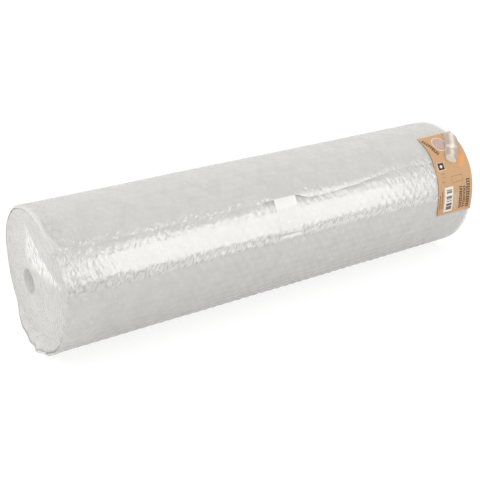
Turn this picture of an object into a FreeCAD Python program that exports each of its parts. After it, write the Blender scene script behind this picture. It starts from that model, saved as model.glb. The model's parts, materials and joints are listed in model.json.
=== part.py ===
import FreeCAD, Part
import math
import os
from collections import namedtuple

import Sketcher

# A retail roll of bubble film lying on its side, in millimetres. X runs along the roll towards
# its labelled end, -Y is the front, +Z is up, and the origin is on the floor under the middle.

os.makedirs("parts", exist_ok=True)
doc = FreeCAD.newDocument("bubble_film_roll")

# Driving sizes: name, value, what it is

SIZES = [
    ("film_width", 500.0, "width of the film, which is the roll's length"),
    ("film_length", 5000.0, "length of the film on the roll"),
    ("film_thickness", 2.8, "sheet and bubbles, as they are pressed in the roll"),
    ("turn_gap", 0.3, "air between one turn and the next"),
    ("hole_radius", 12.0, "radius of the open hole that the winding rod leaves"),
    ("start_bend", 7.0, "inner radius where the second turn climbs over the film's first edge"),
    ("seam_angle", 42.2, "place of the film's free end, in degrees above the front"),
    ("free_end_taper", 22.0, "length over which the bubbles are pressed flat at the free end"),
    ("free_end_thickness", 0.8, "thickness of the free end itself"),
    ("flat_width", 24.0, "width of the flat spot that the roll lies on"),
    ("near_end_round", 8.0, "rounding of the outer turns at the bare end"),
    ("label_end_round", 2.0, "rounding of the outer turns at the labelled end"),
    ("glue_gap", 0.15, "between the film, the label and the tapes that are stuck on them"),
    ("tape_width", 26.0, "closing tape along the roll"),
    ("tape_above", 30.0, "closing tape round the roll, on the free end"),
    ("tape_below", 41.0, "closing tape round the roll, on the turn below"),
    ("tape_offset", -3.0, "middle of the closing tape along the roll"),
    ("tape_thickness", 0.2, "closing tape and label tape"),
    ("label_width", 48.0, "paper label along the roll"),
    ("label_above", 34.0, "paper label round the roll, on the free end"),
    ("label_below", 64.0, "paper label round the roll, on the turn below"),
    ("label_margin", 2.0, "from the paper label to the roll's end"),
    ("label_thickness", 0.2, "thickness of the label's kraft paper"),
    ("strip_width", 17.0, "width of the label tape"),
    ("strip_slant", 30.0, "turn of the label tape from straight round the roll, in degrees"),
    ("strip_angle", 46.0, "middle of the label tape's round end, in degrees above the front"),
    ("strip_inset", 14.0, "from the middle of the label tape's round end to the roll's end"),
    ("strip_lap", 12.0, "how far the label tape reaches down the roll's end face"),
]

sheet = doc.addObject("Spreadsheet::Sheet", "sizes")
for row, (name, value, meaning) in enumerate(SIZES, start=1):
    sheet.set(f"A{row}", name)
    sheet.set(f"B{row}", str(value))
    sheet.set(f"C{row}", meaning)
    sheet.setAlias(f"B{row}", name)
doc.recompute()


def size(name):
    return float(sheet.get(name))


# The film's section is a chain of arcs, each tangent to the next. Angles are in radians and
# grow as the film is wound: from the front down, under, up the back and over the top.

Arc = namedtuple("Arc", "y z radius start end")


def point(arc, angle):
    return FreeCAD.Vector(arc.y + arc.radius * math.cos(angle), arc.z + arc.radius * math.sin(angle), 0)


def offset(arcs, distance):
    return [arc._replace(radius=arc.radius + distance) for arc in arcs]


def cut_back(arcs, length):
    """The same arcs without the last stretch of this length."""
    kept = list(arcs)
    while kept[-1].radius * (kept[-1].end - kept[-1].start) <= length:
        length -= kept[-1].radius * (kept[-1].end - kept[-1].start)
        kept.pop()
    kept[-1] = kept[-1]._replace(end=kept[-1].end - length / kept[-1].radius)
    return kept


def last_stretch(arcs, length):
    """The last stretch of this length."""
    kept = []
    for arc in reversed(arcs):
        arc_length = arc.radius * (arc.end - arc.start)
        if arc_length >= length:
            kept.append(arc._replace(start=arc.end - length / arc.radius))
            break
        kept.append(arc)
        length -= arc_length
    return kept[::-1]


def first_stretch(arcs, length):
    """The first stretch of this length."""
    kept = []
    for arc in arcs:
        arc_length = arc.radius * (arc.end - arc.start)
        if arc_length >= length:
            kept.append(arc._replace(end=arc.start + length / arc.radius))
            break
        kept.append(arc)
        length -= arc_length
    return kept


# Inner line of the film. The first turn is round, leaves the hole's circle on a tangent, bends
# over the film's own first edge, and then each half turn is half a pitch larger than the last.

thickness = size("film_thickness")
pitch = thickness + size("turn_gap")
hole_radius = size("hole_radius")
start_bend = size("start_bend")
seam = math.pi - math.radians(size("seam_angle"))

bend_distance = hole_radius + pitch - start_bend
bend_angle = math.acos((hole_radius - start_bend) / bend_distance)
first_half_turn = hole_radius + 1.25 * pitch

middle = thickness / 2
length_left = size("film_length") - (2 * math.pi - bend_angle) * (hole_radius + middle)
length_left -= bend_distance * math.sin(bend_angle) + bend_angle * (start_bend + middle)
half_turns = []
while length_left > math.pi * (first_half_turn + len(half_turns) * pitch / 2 + middle):
    radius = first_half_turn + len(half_turns) * pitch / 2
    length_left -= math.pi * (radius + middle)
    half_turns.append((radius, math.pi))
radius = first_half_turn + len(half_turns) * pitch / 2
half_turns.append((radius, length_left / (radius + middle)))

start = seam - 2 * math.pi - sum(turn for _, turn in half_turns)
start_y = math.cos(start)
start_z = math.sin(start)
inner = [
    Arc(0, 0, hole_radius, start, start + 2 * math.pi - bend_angle),
    Arc(bend_distance * start_y, bend_distance * start_z, start_bend,
        start + 2 * math.pi - bend_angle, start + 2 * math.pi),
]
for count, (radius, turn) in enumerate(half_turns):
    side = -pitch / 4 if count % 2 == 0 else pitch / 4
    begin = start + (count + 2) * math.pi
    inner.append(Arc(side * start_y, side * start_z, radius, begin, begin + turn))

# Outer line of the film, which comes down at the free end, where the bubbles are pressed flat

full_outer = offset(inner, thickness)
outer = cut_back(full_outer, size("free_end_taper"))
high = point(outer[-1], outer[-1].end)
low = point(offset(inner[-1:], size("free_end_thickness"))[0], seam)
away = FreeCAD.Vector(math.cos(outer[-1].end), math.sin(outer[-1].end), 0)
taper_radius = (low - high).Length ** 2 / (2 * (high - low).dot(away))
taper_centre = high - away * taper_radius
taper_end = math.atan2(low.y - taper_centre.y, low.x - taper_centre.x)
taper_end += 2 * math.pi * round((seam - taper_end) / (2 * math.pi))
outer.append(Arc(taper_centre.x, taper_centre.y, taper_radius, outer[-1].end, taper_end))

# The turn below the free end, from where a sheet that bridges the seam comes down on it


def turn_below(edge):
    for arc in full_outer:
        if arc.end <= seam - 2 * math.pi:
            continue
        reach = edge - FreeCAD.Vector(arc.y, arc.z, 0)
        touch = math.atan2(reach.y, reach.x) + math.acos(min(1, arc.radius / reach.Length))
        touch += 2 * math.pi * round((seam - 2 * math.pi - touch) / (2 * math.pi))
        if touch < arc.end:
            later = full_outer[full_outer.index(arc) + 1:]
            return [arc._replace(start=max(touch, arc.start))] + later


def over_the_seam(above, below):
    """The line of a sheet stuck on the free end and on the turn below it."""
    edge = point(outer[-1], outer[-1].end)
    landing = turn_below(edge)
    bridge = (point(landing[0], landing[0].start) - edge).Length
    return last_stretch(outer, above) + first_stretch(landing, below - bridge)


# The floor cuts a flat spot into the lowest stretch of the outer turn

floor_side = 1.5 * math.pi
floor_side += 2 * math.pi * math.floor((seam - floor_side) / (2 * math.pi))
lowest = [arc for arc in full_outer if arc.start <= floor_side < arc.end][0]
flat_drop = lowest.radius - math.sqrt(lowest.radius ** 2 - (size("flat_width") / 2) ** 2)
axis_height = lowest.radius - lowest.z - flat_drop
row = len(SIZES) + 1
sheet.set(f"A{row}", "axis_height")
sheet.set(f"B{row}", str(axis_height))
sheet.set(f"C{row}", "worked out: height of the roll's axis over the floor")
sheet.setAlias(f"B{row}", "axis_height")

largest_radius = max(arc.radius for arc in outer) + pitch / 4


def new_body(label):
    """A body whose own X axis is the roll's axis."""
    body = doc.addObject("PartDesign::Body", label)
    body.Label = label
    body.setExpression("Placement.Base.z", "sizes.axis_height")
    return body


def new_sketch(body, plane, name, placement=None):
    sketch = body.newObject("Sketcher::SketchObject", name)
    planes = [feature for feature in body.Origin.OriginFeatures if feature.Role == plane]
    sketch.AttachmentSupport = [(planes[0], "")]
    sketch.MapMode = "FlatFace"
    if placement is not None:
        sketch.AttachmentOffset = placement
    return sketch


def draw_ring(sketch, geometry):
    """Adds edges that follow each other to a closed outline, and joins their ends."""
    first = sketch.GeometryCount
    ends = []
    for count, (edge, begins_at) in enumerate(geometry):
        sketch.addGeometry(edge, False)
        ends.append((first + count, begins_at, 3 - begins_at))
    joints = []
    for here, after in zip(ends, ends[1:] + ends[:1]):
        joints.append(Sketcher.Constraint("Coincident", here[0], here[2], after[0], after[1]))
    sketch.addConstraint(joints)


def arc_edge(arc):
    circle = Part.Circle(FreeCAD.Vector(arc.y, arc.z, 0), FreeCAD.Vector(0, 0, 1), arc.radius)
    return Part.ArcOfCircle(circle, arc.start, arc.end)


def draw_strip(sketch, under, over):
    """The closed section of a sheet between two chains of arcs; a chain's gaps become lines."""
    edges = []
    for number, arc in enumerate(under):
        edges.append((arc_edge(arc), 1))
        tip = point(arc, arc.end)
        after = under[number + 1] if number + 1 < len(under) else None
        target = point(after, after.start) if after else point(over[-1], over[-1].end)
        if (target - tip).Length > 1e-6:
            edges.append((Part.LineSegment(tip, target), 1))
    for number, arc in reversed(list(enumerate(over))):
        edges.append((arc_edge(arc), 2))
        tip = point(arc, arc.start)
        before = over[number - 1] if number else None
        target = point(before, before.end) if before else point(under[0], under[0].start)
        if (target - tip).Length > 1e-6:
            edges.append((Part.LineSegment(tip, target), 1))
    draw_ring(sketch, edges)


def polygon(corners):
    pairs = zip(corners, corners[1:] + corners[:1])
    return [(Part.LineSegment(FreeCAD.Vector(*a, 0), FreeCAD.Vector(*b, 0)), 1) for a, b in pairs]


def add_pad(body, sketch, name, length):
    """A pad along +X that starts on its sketch's plane."""
    pad = body.newObject("PartDesign::Pad", name)
    pad.Profile = sketch
    pad.setExpression("Length", length)
    sketch.Visibility = False
    return pad


def removed(body, cut, what):
    """Recomputes and makes sure that the cut takes something off the body."""
    before = body.Shape.Volume
    body.Tip = cut
    doc.recompute()
    if body.Shape.Volume >= before - 1e-3:
        raise RuntimeError(f"{what} cuts nothing")


def x_place(x):
    """A sketch plane across the roll, moved along the roll's axis."""
    return FreeCAD.Placement(FreeCAD.Vector(0, 0, x), FreeCAD.Rotation())


half_width = size("film_width") / 2

# Bubble film: one strip, wound without a core, with its flat side outwards

film_roll = new_body("film_roll")
winding = new_sketch(film_roll, "YZ_Plane", "winding", x_place(-half_width))
winding.setExpression("AttachmentOffset.Base.z", "-sizes.film_width / 2")
draw_strip(winding, inner, outer)
add_pad(film_roll, winding, "wound_film", "sizes.film_width")
doc.recompute()

flat = new_sketch(film_roll, "YZ_Plane", "flat", x_place(-half_width))
flat.setExpression("AttachmentOffset.Base.z", "-sizes.film_width / 2")
flat_side = size("flat_width")
flat_bottom = -axis_height - flat_drop - thickness
draw_ring(flat, polygon([
    (-flat_side, -axis_height), (-flat_side, flat_bottom),
    (flat_side, flat_bottom), (flat_side, -axis_height),
]))
flat_spot = film_roll.newObject("PartDesign::Pocket", "flat_spot")
flat_spot.Profile = flat
flat_spot.Reversed = True
flat_spot.setExpression("Length", "sizes.film_width")
flat.Visibility = False
removed(film_roll, flat_spot, "The flat spot")


def end_groove(name, rounding, side):
    """Rounds the outer turns at one end, in two bevels. Side is -1 for the bare end, else 1."""
    sketch = new_sketch(film_roll, "XZ_Plane", name + "_profile")
    beyond = rounding + pitch
    halfway = rounding * (1 - math.sqrt(0.5))
    draw_ring(sketch, polygon([
        (side * half_width, largest_radius - rounding),
        (side * (half_width - halfway), largest_radius - halfway),
        (side * (half_width - rounding), largest_radius),
        (side * (half_width - rounding), largest_radius + beyond),
        (side * (half_width + beyond), largest_radius + beyond),
        (side * (half_width + beyond), largest_radius - rounding),
    ]))
    groove = film_roll.newObject("PartDesign::Groove", name)
    groove.Profile = sketch
    groove.ReferenceAxis = (sketch, ["H_Axis"])
    groove.Angle = 360
    sketch.Visibility = False
    removed(film_roll, groove, name)


end_groove("near_end_rounding", size("near_end_round"), -1)
end_groove("label_end_rounding", size("label_end_round"), 1)

# Closing tape: clear tape over the free end, at the middle of the roll

tape_thickness = size("tape_thickness")
closing_tape = new_body("closing_tape")
tape_line = offset(over_the_seam(size("tape_above"), size("tape_below")), size("glue_gap"))
tape_section = new_sketch(closing_tape, "YZ_Plane", "tape_section", x_place(0))
tape_section.setExpression("AttachmentOffset.Base.z", "sizes.tape_offset - sizes.tape_width / 2")
draw_strip(tape_section, tape_line, offset(tape_line, tape_thickness))
add_pad(closing_tape, tape_section, "tape", "sizes.tape_width")

# Paper label: kraft paper bent round the roll at its labelled end, over the free end

label_thickness = size("label_thickness")
paper_label = new_body("paper_label")
label_line = offset(over_the_seam(size("label_above"), size("label_below")), size("glue_gap"))
label_section = new_sketch(paper_label, "YZ_Plane", "label_section", x_place(0))
label_section.setExpression(
    "AttachmentOffset.Base.z", "sizes.film_width / 2 - sizes.label_margin - sizes.label_width")
draw_strip(label_section, label_line, offset(label_line, label_thickness))
add_pad(paper_label, label_section, "label", "sizes.label_width")

# Label tape: a slanted strip of clear tape, stuck on the label with its round end, that goes
# over the roll's edge and down its end face. It is cut out of a sheet bent to both faces.

label_tape = new_body("label_tape")
strip_width = size("strip_width")
strip_slant = math.radians(size("strip_slant"))
strip_reach = size("strip_inset") + strip_width
sheet_above = size("label_above") + strip_width
sheet_lift = label_thickness + 2 * size("glue_gap")
sheet_line = offset(over_the_seam(sheet_above, size("label_below")), sheet_lift)

bent_sheet = new_sketch(label_tape, "YZ_Plane", "bent_sheet", x_place(0))
bent_sheet.setExpression(
    "AttachmentOffset.Base.z", "sizes.film_width / 2 - sizes.strip_inset - sizes.strip_width")
draw_strip(bent_sheet, sheet_line, offset(sheet_line, tape_thickness))
add_pad(label_tape, bent_sheet, "on_the_label",
        "sizes.strip_inset + sizes.strip_width + sizes.glue_gap + sizes.tape_thickness")
doc.recompute()

end_sheet = new_sketch(label_tape, "YZ_Plane", "end_sheet", x_place(half_width))
end_sheet.setExpression("AttachmentOffset.Base.z", "sizes.film_width / 2 + sizes.glue_gap")
draw_strip(end_sheet, offset(sheet_line, -size("strip_lap")), offset(sheet_line, tape_thickness))
add_pad(label_tape, end_sheet, "on_the_end", "sizes.tape_thickness")
doc.recompute()

facing = FreeCAD.Rotation(FreeCAD.Vector(1, 0, 0), 90 - size("strip_angle"))
outline = new_sketch(label_tape, "XY_Plane", "outline", FreeCAD.Placement(FreeCAD.Vector(), facing))
round_x = half_width - size("strip_inset")
round_middle = FreeCAD.Vector(round_x, 0, 0)
along = FreeCAD.Vector(math.sin(strip_slant), math.cos(strip_slant), 0)
half_strip = FreeCAD.Vector(math.cos(strip_slant), -math.sin(strip_slant), 0) * (strip_width / 2)
far_middle = round_middle + along * (2 * strip_reach + strip_width)
round_end = Part.ArcOfCircle(
    Part.Circle(round_middle, FreeCAD.Vector(0, 0, 1), strip_width / 2),
    math.pi - strip_slant, 2 * math.pi - strip_slant)
left_side = Part.LineSegment(far_middle - half_strip, round_middle - half_strip)
right_side = Part.LineSegment(round_middle + half_strip, far_middle + half_strip)
far_side = Part.LineSegment(far_middle + half_strip, far_middle - half_strip)
draw_ring(outline, [(left_side, 1), (round_end, 1), (right_side, 1), (far_side, 1)])
around = 4 * (strip_reach + largest_radius)
draw_ring(outline, polygon([
    (round_x - around, -around), (round_x + around, -around),
    (round_x + around, around), (round_x - around, around),
]))
trimmed = label_tape.newObject("PartDesign::Pocket", "trimmed_to_strip")
trimmed.Profile = outline
trimmed.Type = "ThroughAll"
trimmed.Midplane = True
outline.Visibility = False
removed(label_tape, trimmed, "The label tape's outline")

# Checks of every object and shape, then one file for each piece

doc.recompute()
for thing in doc.Objects:
    if "Invalid" in thing.State or "Error" in thing.State:
        raise RuntimeError(f"{thing.Name}: {thing.State}")
for piece in (film_roll, closing_tape, paper_label, label_tape):
    if piece.Shape.isNull() or not piece.Shape.isValid():
        raise RuntimeError(f"{piece.Label} has no valid shape")
    piece.Shape.exportStep(f"parts/{piece.Label}.step")
    box = piece.Shape.BoundBox
    print(f"{piece.Label}: {len(piece.Shape.Solids)} solid, {piece.Shape.Volume:.0f} mm3, "
          f"x {box.XMin:.2f} to {box.XMax:.2f}, y {box.YMin:.2f} to {box.YMax:.2f}, "
          f"z {box.ZMin:.2f} to {box.ZMax:.2f}")
print(f"{len(half_turns) / 2 + 1:.1f} turns, axis {axis_height:.2f} mm over the floor")
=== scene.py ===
import json
import math

import bmesh
import bpy
from mathutils import Matrix, Vector, noise


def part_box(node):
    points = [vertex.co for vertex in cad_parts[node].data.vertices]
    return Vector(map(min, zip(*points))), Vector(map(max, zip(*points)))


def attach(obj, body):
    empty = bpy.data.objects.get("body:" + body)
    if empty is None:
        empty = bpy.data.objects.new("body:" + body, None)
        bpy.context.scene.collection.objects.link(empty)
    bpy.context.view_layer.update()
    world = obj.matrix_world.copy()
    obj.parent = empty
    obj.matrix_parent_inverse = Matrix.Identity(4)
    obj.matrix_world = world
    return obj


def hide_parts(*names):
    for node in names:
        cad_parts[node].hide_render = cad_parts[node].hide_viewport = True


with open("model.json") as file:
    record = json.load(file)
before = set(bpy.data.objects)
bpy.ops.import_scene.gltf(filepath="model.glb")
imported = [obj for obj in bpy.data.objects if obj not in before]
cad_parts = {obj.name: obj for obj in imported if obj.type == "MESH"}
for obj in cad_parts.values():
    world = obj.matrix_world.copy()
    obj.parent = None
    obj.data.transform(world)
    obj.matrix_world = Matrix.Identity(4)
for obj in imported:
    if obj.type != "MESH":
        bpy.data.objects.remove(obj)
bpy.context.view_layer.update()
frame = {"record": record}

# Outer turn of the film: clear polyethylene sheet with its flat side out and its bubbles under
# it. It was made flat and then wound, so a point is given by its place along the roll, its
# length back from the film's free end, and its rise off the flat side, and wind() places it.
mounts = {mount["name"]: mount for mount in frame["record"]["mounts"]}
axis_height = mounts["centre_hole"]["pos_m"][2]
hole_radius = mounts["centre_hole"]["dims"]["r_mm"] / 1000
roll_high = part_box("film_roll")[1]
half_length = roll_high[0]
pitch = 0.0031
seam_angle = math.radians(42.2)
free_end_radius = roll_high[2] - axis_height + pitch * (math.pi / 2 - seam_angle) / (2 * math.pi)
free_end_taper = 0.022
bubble_spacing = 0.010
row_spacing = bubble_spacing * math.sqrt(3) / 2
near_end_curl = 0.0024
far_end_curl = 0.0022
quilt_height = 0.00014
swell_height = 0.00030
lip_width = 0.0055
top_flare = 0.0018
foot_flare = 0.0062
inner_turns_out = 0.006
first_bubble = 0.0055


def ease(low, high, value):
    """Rises smoothly from 0 to 1 as a value goes from low to high."""
    share = min(max((value - low) / (high - low), 0), 1)
    return share * share * (3 - 2 * share)


def spiral(back):
    """How far the film has turned, and its radius, at a length back from its free end."""
    inward = math.sqrt(free_end_radius ** 2 - pitch * back / math.pi)
    return (free_end_radius - inward) * 2 * math.pi / pitch, inward


def wind(along, back, rise):
    """Where a point of the flat film lies on the roll. The ground stops what would pass it."""
    turned, radius = spiral(back)
    angle = seam_angle + turned
    height = axis_height + (radius + rise) * math.sin(angle)
    return Vector((along, -(radius + rise) * math.cos(angle), max(height, -rise, 0)))


one_turn = math.pi * (free_end_radius ** 2 - (free_end_radius - pitch) ** 2) / pitch


def round_the_roll(along, angle, finely):
    """A noise that closes on itself round the roll."""
    around = (math.cos(angle) * finely / 14, math.sin(angle) * finely / 14)
    return noise.noise(Vector((along * finely, *around)))


def quilt(along, back):
    """The film over its bubbles: three sets of waves, of which one slanting set is taller."""
    shift = 1.2 * noise.noise(Vector((along * 40, back * 40, 2)))
    rows = 2 * math.pi * back / row_spacing + shift
    columns = 2 * math.pi * along / bubble_spacing
    slanting = 1.5 * math.cos(rows / 2 + columns) + 0.8 * math.cos(rows / 2 - columns)
    return (math.cos(rows) + slanting) / 3


def curl_at(side, angle):
    """The rounding of the roll's edge."""
    if side > 0:
        return far_end_curl
    return near_end_curl * (1 + 0.6 * round_the_roll(0, angle, 30))


def flare_at(angle):
    """How far the outer turns stand out at the near end: on top, and at its crumpled foot."""
    above = ease(0.3, 1, math.cos(angle - math.radians(110)))
    below = ease(0.65, 1, -math.sin(angle + math.radians(6)))
    crumpled = 0.95 + 0.5 * round_the_roll(0, angle, 70)
    return top_flare * above + foot_flare * below * crumpled


def telescoped(radius, angle, side):
    """How far the turns stand out at the near end."""
    if side > 0:
        return 0
    share = radius / free_end_radius
    return inner_turns_out * (1 - share ** 2) + flare_at(angle) * ease(0.7, 1, share)


def end_curl(along, angle):
    """How far the outer turn is drawn in at the roll's ends."""
    for curl, place in (
            (curl_at(-1, angle), half_length + along), (curl_at(1, angle), half_length - along)):
        if place < curl:
            return curl - math.sqrt(max(0, curl ** 2 - (curl - place) ** 2))
    return 0


def free_end_set(along):
    """How far the free end lies off its line, its drop, how far back that tapers, and its lip."""
    right = ease(0.010, 0.030, along)
    under_label = ease(0.165, 0.190, along)
    lowest = -0.0055 * right + 0.0080 * ease(0.05, 0.17, along)
    waves = 0.0008 * noise.noise(Vector((along * 60, 0, 5))) * right
    left = ease(0.016, 0.040, -along)
    frayed = noise.noise(Vector((along * 45, 3, 5))) + 0.6 * noise.noise(Vector((along * 190, 3, 8)))
    drop = 0.0012 + 0.0017 * left + 0.0005 * right
    taper = free_end_taper * (1 + 1.6 * left + 0.7 * right)
    lip = (0.0006 + 0.0007 * frayed) * right * (1 - ease(0.12, 0.16, along))
    near_label = ease(0.10, 0.16, along)
    drop += (0.0025 - drop) * near_label
    taper += (0.030 - taper) * near_label
    return (lowest + waves) * (1 - under_label), drop, taper, max(0, lip)


def sheet_rise(along, back):
    """How far the outer turn stands off the plain roll: quilted, swelling, sunk at its edges."""
    angle = seam_angle + spiral(back)[0]
    height = math.sin(angle)
    fullness = 1 + 2.4 * ease(0.46, 0.26, height) + 0.8 * round_the_roll(along, angle, 45)
    fullness *= 1 - 0.5 * ease(0.10, 0.16, abs(along - 0.03))
    fullness *= 1 - 0.6 * ease(0.7, 0.95, height)
    rise = quilt_height * quilt(along, back) * fullness
    rise += swell_height * round_the_roll(along, angle, 14)
    start, drop, taper, lip = free_end_set(along)
    if back - start < taper:
        rise -= drop * (1 - (back - start) / taper) ** 2
    if back - start < lip_width:
        rise -= lip * (1 - (back - start) / lip_width) ** 2
    return rise - end_curl(along, angle)


def flat_grid(along, back, step):
    """A flat sheet between two places along the roll and two lengths back."""
    mesh = bmesh.new()
    length = along[1] - along[0]
    width = back[1] - back[0]
    middle = Matrix.Translation(((along[0] + along[1]) / 2, (back[0] + back[1]) / 2, 0))
    bmesh.ops.create_grid(
        mesh, x_segments=round(length / step[0]), y_segments=round(width / step[1]), size=0.5,
        matrix=middle @ Matrix.Diagonal((length, width, 1, 1)))
    return mesh


def keep_flat_map(mesh):
    """Stores the places on the flat film, in metres, as the map that the finishes follow."""
    layer = mesh.loops.layers.uv.new("flat")
    for face in mesh.faces:
        for loop in face.loops:
            loop[layer].uv = loop.vert.co.xy


def in_the_scene(name, mesh, *materials):
    """Turns a mesh in the making into an object."""
    data = bpy.data.meshes.new(name)
    mesh.to_mesh(data)
    mesh.free()
    for material in materials:
        data.materials.append(material)
    made = bpy.data.objects.new(name, data)
    bpy.context.scene.collection.objects.link(made)
    return made


def finished(name, mesh, material):
    """A piece of the roll, which has one body."""
    piece = in_the_scene(name, mesh, material)
    piece.data.shade_smooth()
    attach(piece, "root")
    return piece


class Wire:
    """A value in a material that takes part in plain arithmetic."""

    def __init__(self, finish, socket):
        self.finish = finish
        self.socket = socket

    def math(self, operation, *others):
        return self.finish.wire("ShaderNodeMath", [self, *others], operation=operation)

    def __add__(self, other):
        return self.math("ADD", other)

    def __mul__(self, other):
        return self.math("MULTIPLY", other)

    def __sub__(self, other):
        return self.math("SUBTRACT", other)

    def __neg__(self):
        return self * -1

    def __rsub__(self, other):
        return -self + other

    __radd__ = __add__
    __rmul__ = __mul__

    def between(self, low, high):
        """Rises smoothly from 0 at low to 1 at high."""
        return self.finish.wire(
            "ShaderNodeMapRange", {"Value": self, "From Min": low, "From Max": high},
            interpolation_type="SMOOTHSTEP")


class Finish:
    """A material, or the world, in the making. Every node of it comes from node()."""

    def __init__(self, owner):
        self.owner = owner
        owner.use_nodes = True
        self.tree = owner.node_tree
        self.tree.nodes.clear()

    def node(self, kind, inputs=(), **settings):
        made = self.tree.nodes.new(kind)
        for name, value in settings.items():
            setattr(made, name, value)
        for name, value in inputs.items() if isinstance(inputs, dict) else enumerate(inputs):
            if isinstance(value, Wire):
                self.tree.links.new(value.socket, made.inputs[name])
            else:
                made.inputs[name].default_value = value
        return made

    def wire(self, kind, inputs=(), output=0, **settings):
        return Wire(self, self.node(kind, inputs, **settings).outputs[output])

    def flat_place(self):
        """The place along the film and back from its free end, in metres."""
        both = self.wire("ShaderNodeUVMap", uv_map="flat")
        split = self.node("ShaderNodeSeparateXYZ", [both])
        return Wire(self, split.outputs[0]), Wire(self, split.outputs[1])

    def object_place(self):
        """The place in the scene, in metres: every piece has its origin at the roll's."""
        return self.wire("ShaderNodeTexCoord", output=3)

    def point(self, x, y, z=0):
        return self.wire("ShaderNodeCombineXYZ", [x, y, z])

    def noise(self, place, scale, detail=2, roughness=0.5):
        return self.wire("ShaderNodeTexNoise", {
            "Vector": place, "Scale": scale, "Detail": detail, "Roughness": roughness})

    def mix(self, factor, first, second):
        """Mixes two colours, which are this node's inputs 6 and 7."""
        return self.wire(
            "ShaderNodeMix", {0: factor, 6: first, 7: second}, output=2, data_type="RGBA")

    def bump(self, height, distance, strength=1):
        return self.wire(
            "ShaderNodeBump", {"Height": height, "Distance": distance, "Strength": strength})

    def surface(self, **sockets):
        """Ends the material with its shader, whose inputs are named with _ for a space."""
        named = {name.replace("_", " "): value for name, value in sockets.items()}
        shader = self.node("ShaderNodeBsdfPrincipled", named)
        self.node("ShaderNodeOutputMaterial", [Wire(self, shader.outputs[0])])
        return self.owner


def foot_of_shine(back):
    """1 along the line under the seam where the film's relief shows most, and where the painted shade
    dashes lie.
    """
    begun = back.between(one_turn - 0.047, one_turn - 0.041)
    return begun * (1 - back.between(one_turn - 0.036, one_turn - 0.028))


def wrinkles(finish, along, back):
    """Fine creases in the sheet, which run round the roll and lean a little both ways."""
    leaning = finish.noise(finish.point(along + 0.35 * back, back * 0.4), 240, 2, 0.6)
    other_way = finish.noise(finish.point(along - 0.55 * back, back * 0.4), 190, 2, 0.6)
    depth = 0.6 + 4.2 * along.between(0.10, 0.20) + 8 * (-along).between(0.170, 0.236)
    free_end = 1 - back.between(0.003, 0.009)
    under_it = back.between(one_turn - 0.015, one_turn - 0.010)
    under_it = under_it * (1 - back.between(one_turn - 0.001, one_turn + 0.001))
    depth = depth + 7 * (free_end + 0.7 * under_it)
    curls = finish.noise(finish.point(along - 0.6 * back, back * 0.45), 400, 2, 0.6)
    return (leaning + other_way - 1) * depth + (curls - 0.5) * 9 * foot_of_shine(back)


def bubble_rims(along, back):
    """0 on the bubbles, which lie in staggered rows, and 1 on the film between them."""
    squares = []
    for shift in (0, 0.5):
        across = along + half_length - first_bubble - bubble_spacing * shift
        across = across.math("WRAP", bubble_spacing / 2, -bubble_spacing / 2)
        onward = (back - row_spacing * (1 + 2 * shift)).math("WRAP", row_spacing, -row_spacing)
        squares.append(across * across + onward * onward)
    return squares[0].math("MINIMUM", squares[1]).math("SQRT").between(0.0034, 0.0049)


crease_height = 0.00015
rim_height = 0.00003
clear_film = Finish(bpy.data.materials.new("clear_film"))
along, back = clear_film.flat_place()
creases = wrinkles(clear_film, along, back)
rims = bubble_rims(along, back)
mottle = clear_film.noise(clear_film.point(along, back), 55, 3)
# Painted glints: sparse white specks painted into the film's colour.
painted_glints = clear_film.noise(clear_film.point(along, back * 0.6), 620, 1).between(0.71, 0.78)
# Painted shade: dark dashes painted into the film's colour along the foot of the highlight band.
painted_shade_dashes = clear_film.noise(clear_film.point(along - 0.6 * back, back * 0.5), 430, 1)
painted_shade_dashes = painted_shade_dashes.between(0.50, 0.60) * foot_of_shine(back - 0.0015) * (1 - along.between(0.19, 0.235))
film_tone = clear_film.mix(
    mottle.between(0.3, 0.7), (0.69, 0.675, 0.64, 1), (0.73, 0.715, 0.68, 1))
film_tone = clear_film.mix(rims * 0.25, film_tone, (0.66, 0.645, 0.61, 1))
film_tone = clear_film.mix(painted_shade_dashes * 0.7, film_tone, (0.48, 0.47, 0.44, 1))
film_tone = clear_film.mix(painted_glints, film_tone, (0.97, 0.97, 0.96, 1))
# Painted light: the film's edge at the near end is lightened in colour.
painted_light_edge = (-along).between(half_length - 0.0045, half_length - 0.0012)
film_tone = clear_film.mix(painted_light_edge * 0.6, film_tone, (0.95, 0.94, 0.92, 1))
# Painted light: the film below the band, towards the near end, is lightened in colour.
low_painted_light = back.between(one_turn - 0.17, one_turn - 0.11) * (-along).between(0.195, half_length)
low_painted_light = low_painted_light * (1 - back.between(one_turn - 0.066, one_turn - 0.048))
film_tone = clear_film.mix(low_painted_light * 0.4, film_tone, (0.90, 0.89, 0.87, 1))
outer_finish = clear_film.surface(
    Base_Color=film_tone,
    Roughness=0.09,
    Alpha=0.64 + 0.08 * mottle,
    IOR=2.3,
    Normal=clear_film.bump(creases * crease_height - rims * rim_height, 1.0),
)

overlap = 0.045
uneven_stretch = 0.05
flaring_stretch = 0.012
outer_back = one_turn + overlap
film_step = (0.002, 0.0016)
mesh = flat_grid((-half_length, half_length), (0, outer_back), film_step)
for vertex in mesh.verts:
    if vertex.co.y < uneven_stretch:
        shift = free_end_set(vertex.co.x)[0]
        vertex.co.y += shift * (1 - vertex.co.y / uneven_stretch) ** 2
keep_flat_map(mesh)
for vertex in mesh.verts:
    along, back = vertex.co.xy
    angle = seam_angle + spiral(back)[0]
    flare = flare_at(angle) * ease(flaring_stretch, 0, half_length + along)
    vertex.co = wind(along - flare, back, sheet_rise(along, back) + 0.25 * flare)
outer_film = finished("outer_film", mesh, outer_finish)
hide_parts("film_roll")

# Bubbles of the outer turn: pockets of air moulded into the film's inner ply, in staggered
# rows 10 mm apart along the roll. The turn above presses them a little flat.
bubble_profile = [(0.0047, 0), (0.0043, -0.0016), (0.0027, -0.0025), (0, -0.0027)]
bubble_sides = 10
under_sheet = 0.0001


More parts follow.
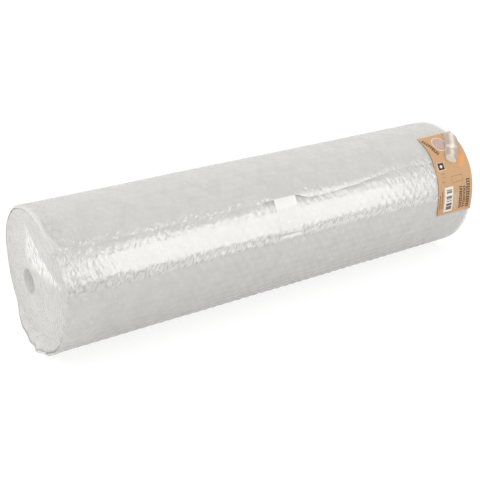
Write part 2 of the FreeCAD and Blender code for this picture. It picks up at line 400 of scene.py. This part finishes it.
def one_bubble(mesh, along, back):
    """A flattened dome under the sheet, spun from its profile."""
    rim = [mesh.verts.new((along + radius, back, drop)) for radius, drop in bubble_profile]
    edges = [mesh.edges.new(pair) for pair in zip(rim, rim[1:])]
    bmesh.ops.spin(
        mesh, geom=rim + edges, cent=(along, back, 0), axis=(0, 0, 1), angle=2 * math.pi,
        steps=bubble_sides, use_merge=True)
    bmesh.ops.remove_doubles(mesh, verts=mesh.verts, dist=1e-6)


def repeated(mesh, copies):
    """The same mesh repeated by each of these steps in turn, as a new mesh."""
    pattern = in_the_scene("pattern", mesh)
    for count, step in copies:
        copy = pattern.modifiers.new("repeat", "ARRAY")
        copy.count = count
        copy.use_relative_offset = False
        copy.use_constant_offset = True
        copy.constant_offset_displace = (*step, 0)
    bpy.context.view_layer.update()
    shown = pattern.evaluated_get(bpy.context.evaluated_depsgraph_get())
    whole = bmesh.new()
    whole.from_mesh(shown.to_mesh())
    bpy.data.objects.remove(pattern)
    return whole


mesh = bmesh.new()
one_bubble(mesh, first_bubble - half_length, row_spacing)
mesh = repeated(mesh, [
    (2, (bubble_spacing / 2, row_spacing)),
    (int((2 * half_length - first_bubble) / bubble_spacing), (bubble_spacing, 0)),
    (int(outer_back / row_spacing / 2), (0, 2 * row_spacing)),
])
keep_flat_map(mesh)
bmesh.ops.reverse_faces(mesh, faces=mesh.faces)
for vertex in mesh.verts:
    place = vertex.co.copy()
    vertex.co = wind(place.x, place.y, place.z + sheet_rise(place.x, place.y) - under_sheet)

pocket = Finish(bpy.data.materials.new("bubble_pockets"))
along, back = pocket.flat_place()
pocket_finish = pocket.surface(
    Base_Color=(0.92, 0.91, 0.885, 1),
    Roughness=0.2,
    Alpha=0.28 + 0.1 * pocket.noise(pocket.point(along, back), 90),
    IOR=1.5,
    Normal=pocket.bump(pocket.noise(pocket.point(along, back), 600, 3), 0.0003, 0.4),
)
finished("outer_bubbles", mesh, pocket_finish)

# Turns below the outer one: the rest of the five metres, wound tight round an open hole. So
# many clear layers together look milky white, so they are one body with a milky finish.
body_steps = 150
body_cuts = 120
end_rings = 24
fill_depth = 0.0008
rim_gap = 0.0009
shoulder = 0.012
end_zone = 0.005
firm_radius = 0.03
inside = hole_radius + 0.0005
outside = free_end_radius - pitch
rim = free_end_radius - rim_gap


def rounded_in(radius, curl):
    """How far an end is set back at a radius, where its edge is rounded."""
    past = radius - (free_end_radius - curl)
    return curl - math.sqrt(max(0, curl ** 2 - past ** 2)) if past > 0 else 0


radii = [inside + (rim - inside) * share / end_rings for share in range(end_rings + 1)]
near_side = [(fill_depth - half_length, radius) for radius in radii]
near_side += [(shoulder - half_length, outside)]
far_side = [(-along, radius) for along, radius in reversed(near_side)]
mesh = bmesh.new()
ring = [mesh.verts.new((along, -radius, 0)) for along, radius in near_side + far_side]
edges = [mesh.edges.new(pair) for pair in zip(ring, ring[1:] + ring[:1])]
long_edge = edges[len(near_side) - 1]
bmesh.ops.subdivide_edges(mesh, edges=[long_edge], cuts=body_cuts)
bmesh.ops.spin(
    mesh, geom=mesh.verts[:] + mesh.edges[:], cent=(0, 0, 0), axis=(1, 0, 0), angle=2 * math.pi,
    steps=body_steps, use_merge=True)
bmesh.ops.remove_doubles(mesh, verts=mesh.verts, dist=1e-6)
bmesh.ops.recalc_face_normals(mesh, faces=mesh.faces)
for vertex in mesh.verts:
    place = vertex.co.copy()
    radius = math.hypot(place.y, place.z)
    angle = math.atan2(place.z, -place.y)
    side = math.copysign(1, place.x)
    if abs(place.x) > half_length - end_zone:
        set_back = fill_depth + rounded_in(radius + rim_gap, curl_at(side, angle))
        place.x = side * (half_length - set_back + telescoped(radius, angle, side))
    if radius > firm_radius:
        turned = (angle - seam_angle) % (2 * math.pi)
        radius -= (radius / outside) ** 4 * (pitch * turned / (2 * math.pi) + 0.0002)
    vertex.co = (place.x, -radius * math.cos(angle), axis_height + radius * math.sin(angle))


def painted_end_highlight(finish):
    """Painted highlight: bright flecks painted into the colour of the near end, where loose turns
    would lean out and catch the light.
    """
    place = finish.node("ShaderNodeSeparateXYZ", [finish.object_place()])
    endward = -Wire(finish, place.outputs[0])
    forward = -Wire(finish, place.outputs[1])
    upward = Wire(finish, place.outputs[2]) - axis_height
    above = upward + 0.55 * forward - 0.053
    lit = (1 - above.between(-0.001, 0.001)) * above.between(-0.043, -0.018)
    lit = lit * upward.between(0.013, 0.021) * forward.between(-0.008, 0.002)
    flecks = finish.noise(finish.point(forward + 0.3 * upward, upward * 0.35), 420, 2)
    return 0.85 * lit * flecks.between(0.38, 0.56) * endward.between(0.238, 0.242)


milky = Finish(bpy.data.materials.new("milky_turns"))
blots = milky.noise(milky.object_place(), 70, 3, 0.6)
milky_tone = milky.mix(blots.between(0.3, 0.7), (0.68, 0.665, 0.64, 1), (0.73, 0.715, 0.69, 1))
# The near end's bright flecks are a painted highlight in the base colour.
milky_finish = milky.surface(
    Base_Color=milky.mix(painted_end_highlight(milky), milky_tone, (1, 1, 0.99, 1)),
    Roughness=0.5,
    Normal=milky.bump(blots, 0.001, 0.3),
)
finished("inner_turns", mesh, milky_finish)

# Cut edges of the turns, at both ends: each turn's sheet comes to the end, and the knife went
# through its first row of bubbles. Winding leaves the edges a little uneven.
end_depth = 0.004
edge_step = (end_depth / 3, 0.003)
cut_bubble = 0.0035
innermost_radius = hole_radius + 0.0008
film_length = math.pi * (free_end_radius ** 2 - innermost_radius ** 2) / pitch


def end_set_back(back, side):
    """How far a turn's edge lies inside the roll's end."""
    turned, radius = spiral(back)
    curl = curl_at(side, seam_angle + turned)
    set_back = 0.0002 + 0.0004 * noise.noise(Vector((back * 6, side, 0)))
    return set_back + rounded_in(radius, curl) - telescoped(radius, seam_angle + turned, side)


def place_at_end(mesh, side):
    """Winds flat film whose edge is at 0 onto one end of the roll."""
    for vertex in mesh.verts:
        place = vertex.co.copy()
        back = min(max(place.y, 0), film_length)
        along = side * (half_length - end_set_back(back, side) - place.x)
        drawn_in = end_curl(along, seam_angle) if back < one_turn else 0
        vertex.co = wind(along, back, place.z - drawn_in - under_sheet)


cut_edges = Finish(bpy.data.materials.new("cut_edges"))
# The near end's bright flecks are a painted highlight in the base colour.
edge_finish = cut_edges.surface(
    Base_Color=cut_edges.mix(painted_end_highlight(cut_edges), (0.61, 0.595, 0.575, 1), (1, 1, 0.99, 1)),
    Roughness=0.5,
    Alpha=0.17,
    IOR=1.4,
)

for side, end in ((-1, "near"), (1, "far")):
    mesh = flat_grid((0, end_depth), (0, film_length), edge_step)
    keep_flat_map(mesh)
    place_at_end(mesh, side)
    if side > 0:
        bmesh.ops.reverse_faces(mesh, faces=mesh.faces)
    finished(end + "_end_edges", mesh, edge_finish)

    mesh = bmesh.new()
    one_bubble(mesh, cut_bubble, row_spacing)
    bmesh.ops.bisect_plane(
        mesh, geom=mesh.verts[:] + mesh.edges[:] + mesh.faces[:], plane_co=(0, 0, 0),
        plane_no=(-1, 0, 0), clear_outer=True)
    one_bubble(mesh, cut_bubble + bubble_spacing / 2, 2 * row_spacing)
    mesh = repeated(mesh, [(int(film_length / row_spacing / 2), (0, 2 * row_spacing))])
    keep_flat_map(mesh)
    if side < 0:
        bmesh.ops.reverse_faces(mesh, faces=mesh.faces)
    place_at_end(mesh, side)
    finished(end + "_end_bubbles", mesh, edge_finish)

# Closing tape: glossy clear tape that holds the free end down on the turn below. It bridges
# the step at the film's edge in a straight line.
tape_low, tape_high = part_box("closing_tape")
tape_above = 0.030
tape_below = 0.041
tape_lift = 0.00022
tape_step = (0.001, 0.001)


def across_seam(along, down, rise):
    """A place on the roll's outside, a length down from the free end or, if negative, above it."""
    turned = -down / free_end_radius
    below = free_end_radius - pitch - pitch * turned / (2 * math.pi)
    drop, taper = free_end_set(along)[1:3]
    if turned >= 0:
        dropped = drop * max(0, 1 + down / taper) ** 2
        radius = free_end_radius - pitch * turned / (2 * math.pi) - dropped
    else:
        bridge = math.acos(below / (free_end_radius - drop))
        radius = below / math.cos(turned + bridge) if turned > -bridge else below
    angle = seam_angle + turned
    radius += rise
    return Vector((along, -radius * math.cos(angle), axis_height + radius * math.sin(angle)))


mesh = flat_grid((tape_low[0], tape_high[0]), (-tape_above, tape_below), tape_step)
keep_flat_map(mesh)
for vertex in mesh.verts:
    place = vertex.co.copy()
    angle = seam_angle - place.y / free_end_radius
    ripple = swell_height * round_the_roll(place.x, angle, 14)
    ripple += 0.00008 * noise.noise(Vector((place.x * 90, place.y * 60, 4)))
    peeling = 0.0006 * ease(0.0020, 0, tape_below - place.y) * ease(0.010, 0.004, place.x)
    vertex.co = across_seam(place.x, place.y, tape_lift + ripple + peeling)
bmesh.ops.reverse_faces(mesh, faces=mesh.faces)

tape = Finish(bpy.data.materials.new("clear_tape"))
along, back = tape.flat_place()
over_the_step = back.between(-0.0005, 0.0005) * (1 - back.between(0.008, 0.012))
tape_finish = tape.surface(
    Base_Color=(0.75, 0.74, 0.715, 1),
    Roughness=0.07,
    Alpha=0.48 + 0.15 * over_the_step,
    IOR=2.4,
    Normal=tape.bump(tape.noise(tape.point(along, back * 0.4), 180, 2), 0.0002, 0.5),
)
closing_tape = finished("seam_tape", mesh, tape_finish)
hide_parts("closing_tape")

# Paper label: brown kraft paper, printed in dark brown, stuck on at the roll's far end. Its
# print is plain fields, strokes in the place of words, and a plain round seal.
label_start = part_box("paper_label")[0][0]
label_above = 0.034
label_below = 0.064
label_length = label_above + label_below
label_width = half_length - label_start + 0.0005
label_lift = 0.0006
label_ripple = 0.0004
edge_curl = 0.0018
corner_curl = 0.0008
label_step = (0.001, 0.001)


def label_rise(across, down):
    """How far the paper stands off the roll: it ripples, and curls up at its free edges."""
    curling = edge_curl * ease(0.036, 0.052, across) * ease(0.01, 0.05, down)
    curling += corner_curl * ease(0.085, 0.098, down) * ease(0.012, 0, across)
    ripple = label_ripple * noise.noise(Vector((across * 50, down * 50, 9)))
    return label_lift + ripple + curling


mesh = flat_grid((0, label_width), (0, label_length), label_step)
keep_flat_map(mesh)
for vertex in mesh.verts:
    across, down = vertex.co.xy
    along = label_start + across + 0.0013 * ease(0, 0.03, down) - 0.0049 * ease(0.03, 0.10, down)
    vertex.co = across_seam(along, down - label_above, label_rise(across, down))
bmesh.ops.reverse_faces(mesh, faces=mesh.faces)


class Print:
    """Flat ink on the label. Places are in metres from its top left corner."""

    def __init__(self, finish, across, down, paper):
        self.finish = finish
        self.across = across
        self.down = down
        self.colour = paper

    def ink(self, mask, colour):
        """Lays a colour over what is printed so far."""
        self.colour = self.finish.mix(mask, self.colour, (*colour, 1))

    def field(self, low, high, soft=0.0003):
        """A plain field between two corners."""
        mask = 1
        for place, first, last in zip((self.across, self.down), low, high):
            mask = place.between(first, first + soft) * mask
            mask = mask * (1 - place.between(last - soft, last))
        return mask

    def disc(self, middle, radius, soft=0.0004):
        place = self.finish.point(self.across, self.down)
        reach = self.finish.wire(
            "ShaderNodeVectorMath", [place, (*middle, 0)], output=1, operation="DISTANCE")
        return 1 - reach.between(radius - soft, radius)

    def strokes(self, first, last, height, spacing):
        """A row of strokes in the place of letters, from one point to another."""
        row = Vector(last) - Vector(first)
        way = row.normalized()
        across = self.across - first[0]
        down = self.down - first[1]
        onward = across * way.x + down * way.y
        upward = (across * way.y - down * way.x) * (1 / height)
        step = onward * (1 / spacing)
        letter = self.finish.point(step.math("FLOOR"), *first)
        chance = self.finish.wire("ShaderNodeTexWhiteNoise", {"Vector": letter})
        place = step.math("FRACT")
        stem = place.math("LESS_THAN", 0.5)
        bar = place.math("LESS_THAN", 0.85)
        top = bar * upward.math("GREATER_THAN", 0.22) * chance.math("GREATER_THAN", 0.3)
        foot = bar * upward.math("LESS_THAN", -0.22) * chance.math("LESS_THAN", 0.7)
        waist = upward.math("ABSOLUTE").math("LESS_THAN", 0.12)
        waist = bar * waist * chance.math("GREATER_THAN", 0.55)
        mark = stem.math("MAXIMUM", top).math("MAXIMUM", foot).math("MAXIMUM", waist)
        mark = mark * upward.math("ABSOLUTE").math("LESS_THAN", 0.5)
        return mark * onward.math("GREATER_THAN", 0) * onward.math("LESS_THAN", row.length)


kraft = Finish(bpy.data.materials.new("kraft_paper"))
across, down = kraft.flat_place()
fibres = kraft.noise(kraft.point(across, down * 0.5), 900, 4, 0.7)
paper = kraft.mix(fibres.between(0.3, 0.7), (0.52, 0.290, 0.130, 1), (0.60, 0.350, 0.17, 1))
label = Print(kraft, across, down, paper)
brown = (0.10, 0.045, 0.015)
pale_brown = (0.20, 0.09, 0.03)
seal = (0.022, 0.014)
bars_left = 0.0120
bars_right = 0.0207
faded = kraft.noise(kraft.point(across, down), 320, 2)

spot = kraft.point((across - 0.0425) * 0.7 + (down - 0.038) * 0.25, (down - 0.038) * 0.33)
spot = kraft.wire("ShaderNodeVectorMath", [spot], output=1, operation="LENGTH")
label.ink((1 - spot.between(0.001, 0.0045)) * 0.6, (0.86, 0.33, 0.06))
label.ink(label.disc(seal, 0.0096), (0.82, 0.60, 0.42))
label.ink(label.disc(seal, 0.0086), (0.47, 0.34, 0.30))
label.ink(label.disc(seal, 0.0060) * faded.between(0.4, 0.6) * 0.35, (0.66, 0.50, 0.44))
label.ink(label.strokes((0.0034, 0.0052), (0.0124, 0.0262), 0.0050, 0.0027), brown)
label.ink(label.field((0.0040, 0.0358), (0.0150, 0.0460)), (0.80, 0.58, 0.38))
label.ink(label.field((0.0050, 0.0364), (0.0143, 0.0452)), (0.035, 0.018, 0.010))
label.ink(label.disc((0.0096, 0.0409), 0.0020), (0.80, 0.72, 0.62))
doodle = (kraft.noise(kraft.point(across, down, 0.3), 260, 1) - 0.5).math("ABSOLUTE")
doodle = (1 - doodle.between(0.008, 0.03)) * label.field((0.0060, 0.0490), (0.0135, 0.0612))
label.ink(doodle * 0.8, pale_brown)
border = label.field((0.0205, 0.0545), (0.0380, 0.0628))
border = border * (1 - label.field((0.0211, 0.0551), (0.0374, 0.0622)))
label.ink(border * faded.between(0.35, 0.5) * 0.75, pale_brown)
label.ink(label.field((0.0090, 0.0660), (0.0226, 0.0953)), (0.80, 0.75, 0.67))
bars = kraft.wire("ShaderNodeTexWhiteNoise", {"W": (down * 1500).math("FLOOR")}, noise_dimensions="1D")
bars = bars.math("GREATER_THAN", 0.25)
bars = bars * label.field((bars_left, 0.0686), (bars_right, 0.0930))
for first, last in ((0.0742, 0.0768), (0.0828, 0.0850)):
    bars = bars * (1 - label.field((bars_left, first), (bars_right, last)))
label.ink(bars * 0.9, (0.06, 0.05, 0.045))
label.ink(label.field((0.0236, 0.0750), (0.0308, 0.0952)) * 0.45, (0.82, 0.72, 0.60))
for column in (0.0252, 0.0275, 0.0297):
    words = label.strokes((column, 0.0755), (column, 0.0948), 0.0013, 0.0011)
    label.ink(words * 0.8, (0.30, 0.14, 0.06))
for column, first, last, height, spacing in (
        (0.0342, 0.0684, 0.0942, 0.0045, 0.0027), (0.0393, 0.0690, 0.0945, 0.0034, 0.0023),
        (0.0444, 0.0612, 0.0943, 0.0047, 0.0029)):
    label.ink(label.strokes((column, first), (column, last), height, spacing), brown)
for column, first in ((0.0024, 0.0740), (0.0058, 0.0698)):
    label.ink(label.strokes((column, first), (column, 0.0900), 0.0019, 0.0011), (0.24, 0.08, 0.03))
label.ink(label.field((0.0200, 0.0958), (0.0440, 0.0970)), (0.84, 0.36, 0.08))

paper_finish = kraft.surface(
    Base_Color=label.colour,
    Roughness=0.62,
    Normal=kraft.bump(fibres + kraft.noise(kraft.point(across, down), 90, 3), 0.0004, 0.5),
)
paper_label = finished("kraft_label", mesh, paper_finish)
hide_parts("paper_label")

# Label tape: clear tape stuck slantwise over the label's edge and on over the roll's end. It
# is creased across, and it arches off the label, higher past the crease.
strip_start = Vector((0.0277, 0.0391))
strip_slant = math.radians(30)
strip_way = Vector((math.sin(strip_slant), -math.cos(strip_slant)))
strip_side = Vector((-strip_way.y, strip_way.x))
strip_length = 0.060
strip_left = -0.0105
strip_right = 0.0073
strip_middle = (strip_left + strip_right) / 2
half_width = (strip_right - strip_left) / 2
strip_corner = 0.007
cut_off_from = 0.034
crease_place = 0.0175
crease_slant = 0.12
low_arch = 0.0022
high_arch = 0.0034
strip_lift = 0.0006
strip_step = (0.0008, 0.0008)
fold_radius = 0.003


def over_the_end(across, down, rise):
    """A place on the label's flat sheet, which past the roll's end bends down over the end."""
    past = across - (half_length - label_start - fold_radius)
    lean = min(max(past / fold_radius, 0), math.pi / 2)
    straight = max(0, past - fold_radius * math.pi / 2)
    along = label_start + across if past < 0 else half_length - fold_radius
    along += (fold_radius + rise) * math.sin(lean)
    inward = fold_radius * (1 - math.cos(lean)) + straight
    return across_seam(along, down - label_above, rise * math.cos(lean) - inward)


mesh = flat_grid((0, strip_length), (strip_left, strip_right), strip_step)
keep_flat_map(mesh)
for vertex in mesh.verts:
    length, side = vertex.co.xy
    if length < strip_corner:
        reach = math.sqrt(strip_corner ** 2 - (strip_corner - length) ** 2)
        side = strip_middle + (side - strip_middle) * (1 - (strip_corner - reach) / half_width)
    cut_off = min(0.75 * max(0, length - cut_off_from), 0.0125)
    side = strip_right - (strip_right - side) * (1 - cut_off / (2 * half_width))
    across, down = strip_start + strip_way * length + strip_side * side
    arch = math.sqrt(max(0, 1 - ((side - strip_middle) / half_width) ** 2))
    crease = crease_place + crease_slant * (side - strip_middle)
    pillow = ease(0, 0.007, length) * (0.3 + 0.7 * ease(0, 0.004, abs(length - crease)))
    height = low_arch if length < crease else high_arch * ease(0.056, cut_off_from, length)
    rise = strip_lift + height * pillow * arch
    rise += 0.0003 * noise.noise(Vector((length * 130, side * 130, 1)))
    rise += label_rise(min(across, label_length), down)
    vertex.co = over_the_end(across, down, rise)

strip = Finish(bpy.data.materials.new("label_clear_tape"))
along, back = strip.flat_place()
# Painted highlight: a pale streak painted along the tape's middle.
middle_line = (back + 0.0016).math("ABSOLUTE")
painted_highlight_streak = (1 - middle_line.between(0.0005, 0.0048)) * along.between(0.004, 0.010)
# Painted shade: the crease across the tape is darkened in colour.
crease_painted_shade = (along - crease_slant * back - crease_place).math("ABSOLUTE")
crease_painted_shade = 1 - crease_painted_shade.between(0.0003, 0.0016)
strip_tone = strip.mix(painted_highlight_streak, (0.52, 0.44, 0.355, 1), (0.93, 0.88, 0.80, 1))
strip_finish = strip.surface(
    Base_Color=strip.mix(crease_painted_shade * 0.2, strip_tone, (0.40, 0.33, 0.25, 1)),
    Roughness=0.15,
    Alpha=0.7,
    IOR=2.0,
    Normal=strip.bump(strip.noise(strip.point(along, back), 250, 2), 0.0004, 0.5),
)
label_strip = finished("label_strip", mesh, strip_finish)
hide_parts("label_tape")

# Studio: pale floor, white surroundings, a large soft lamp in front on the right with a dimmer
# card round it, and the camera in front on the left, looking down along the roll.
roll_middle = Vector((0, 0, axis_height))


def seen_plainly(finish):
    """1 for what shows the ground or the sky itself, also mirrored or through clear film."""
    path = finish.node("ShaderNodeLightPath")
    seen = Wire(finish, path.outputs["Is Camera Ray"])
    for way in ("Is Glossy Ray", "Is Transmission Ray"):
        seen = seen.math("MAXIMUM", Wire(finish, path.outputs[way]))
    return seen


pale = Finish(bpy.data.materials.new("pale_floor"))
matt = pale.wire("ShaderNodeBsdfDiffuse", {"Color": (0.78, 0.78, 0.78, 1)})
glow = pale.wire("ShaderNodeEmission", {"Color": (1, 1, 1, 1), "Strength": 1.13})
floor_shade = pale.wire("ShaderNodeMixShader", [seen_plainly(pale) * 0.75, matt, glow])
pale.node("ShaderNodeOutputMaterial", [floor_shade])
mesh = bmesh.new()
bmesh.ops.create_grid(mesh, x_segments=1, y_segments=1, size=4)
floor = in_the_scene("floor", mesh, pale.owner)

bpy.context.scene.world = bpy.data.worlds.new("surroundings")
air = Finish(bpy.context.scene.world)
way = air.node("ShaderNodeSeparateXYZ", [air.wire("ShaderNodeTexCoord")])
overhead = Wire(air, way.outputs[2]).between(-0.2, 1)
light = air.wire(
    "ShaderNodeBackground", {"Color": (1, 1, 1, 1), "Strength": 0.90 + 0.38 * overhead})
white = air.wire("ShaderNodeBackground", {"Color": (1, 1, 1, 1), "Strength": 1.0})
shown = air.wire("ShaderNodeMixShader", [seen_plainly(air), light, white])
air.node("ShaderNodeOutputWorld", [shown])

lamp_aim = roll_middle + Vector((0.435, 0, 0))
lamp_distance = 0.84
lamp_slope = math.radians(24)
lamp_side = Vector((0, -math.cos(lamp_slope), math.sin(lamp_slope)))
lamp_data = bpy.data.lights.new("key", "AREA")
lamp_data.shape = "RECTANGLE"
lamp_data.size = 0.97
lamp_data.size_y = 0.72
lamp_data.energy = 6.8
key_lamp = bpy.data.objects.new("key", lamp_data)
key_lamp.location = lamp_aim + lamp_side * lamp_distance
key_lamp.rotation_euler = (-lamp_side).to_track_quat("-Z", "Y").to_euler()
key_lamp.visible_diffuse = False
bpy.context.scene.collection.objects.link(key_lamp)

card = Finish(bpy.data.materials.new("lamp_frame"))
dim = card.wire("ShaderNodeEmission", {"Color": (1, 1, 1, 1), "Strength": 0.4})
card.node("ShaderNodeOutputMaterial", [dim])
card_gap = 0.01
card_size = Matrix.Diagonal((1.07, 0.83, 1, 1))
card_turn = key_lamp.rotation_euler.to_matrix().to_4x4()
card_place = Matrix.Translation(lamp_aim + lamp_side * (lamp_distance + card_gap))
mesh = bmesh.new()
bmesh.ops.create_grid(
    mesh, x_segments=1, y_segments=1, size=0.5, matrix=card_place @ card_turn @ card_size)
lamp_frame = in_the_scene("lamp_frame", mesh, card.owner)
lamp_frame.visible_camera = False
lamp_frame.visible_diffuse = False
lamp_frame.visible_transmission = False
lamp_frame.visible_shadow = False

camera_data = bpy.data.cameras.new("camera")
camera_data.lens = 69.6
camera_data.sensor_width = 36
camera_data.clip_end = 20
camera = bpy.data.objects.new("camera", camera_data)
camera.location = roll_middle + Vector((-0.5179, -0.7554, 0.3753))
pan = math.radians(33.3386)
tilt = math.radians(23.217)
forward = Vector((math.sin(pan) * math.cos(tilt), math.cos(pan) * math.cos(tilt), -math.sin(tilt)))
camera.rotation_euler = forward.to_track_quat("-Z", "Y").to_euler()
bpy.context.scene.collection.objects.link(camera)
bpy.context.scene.camera = camera
bpy.context.scene.view_settings.view_transform = "Standard"
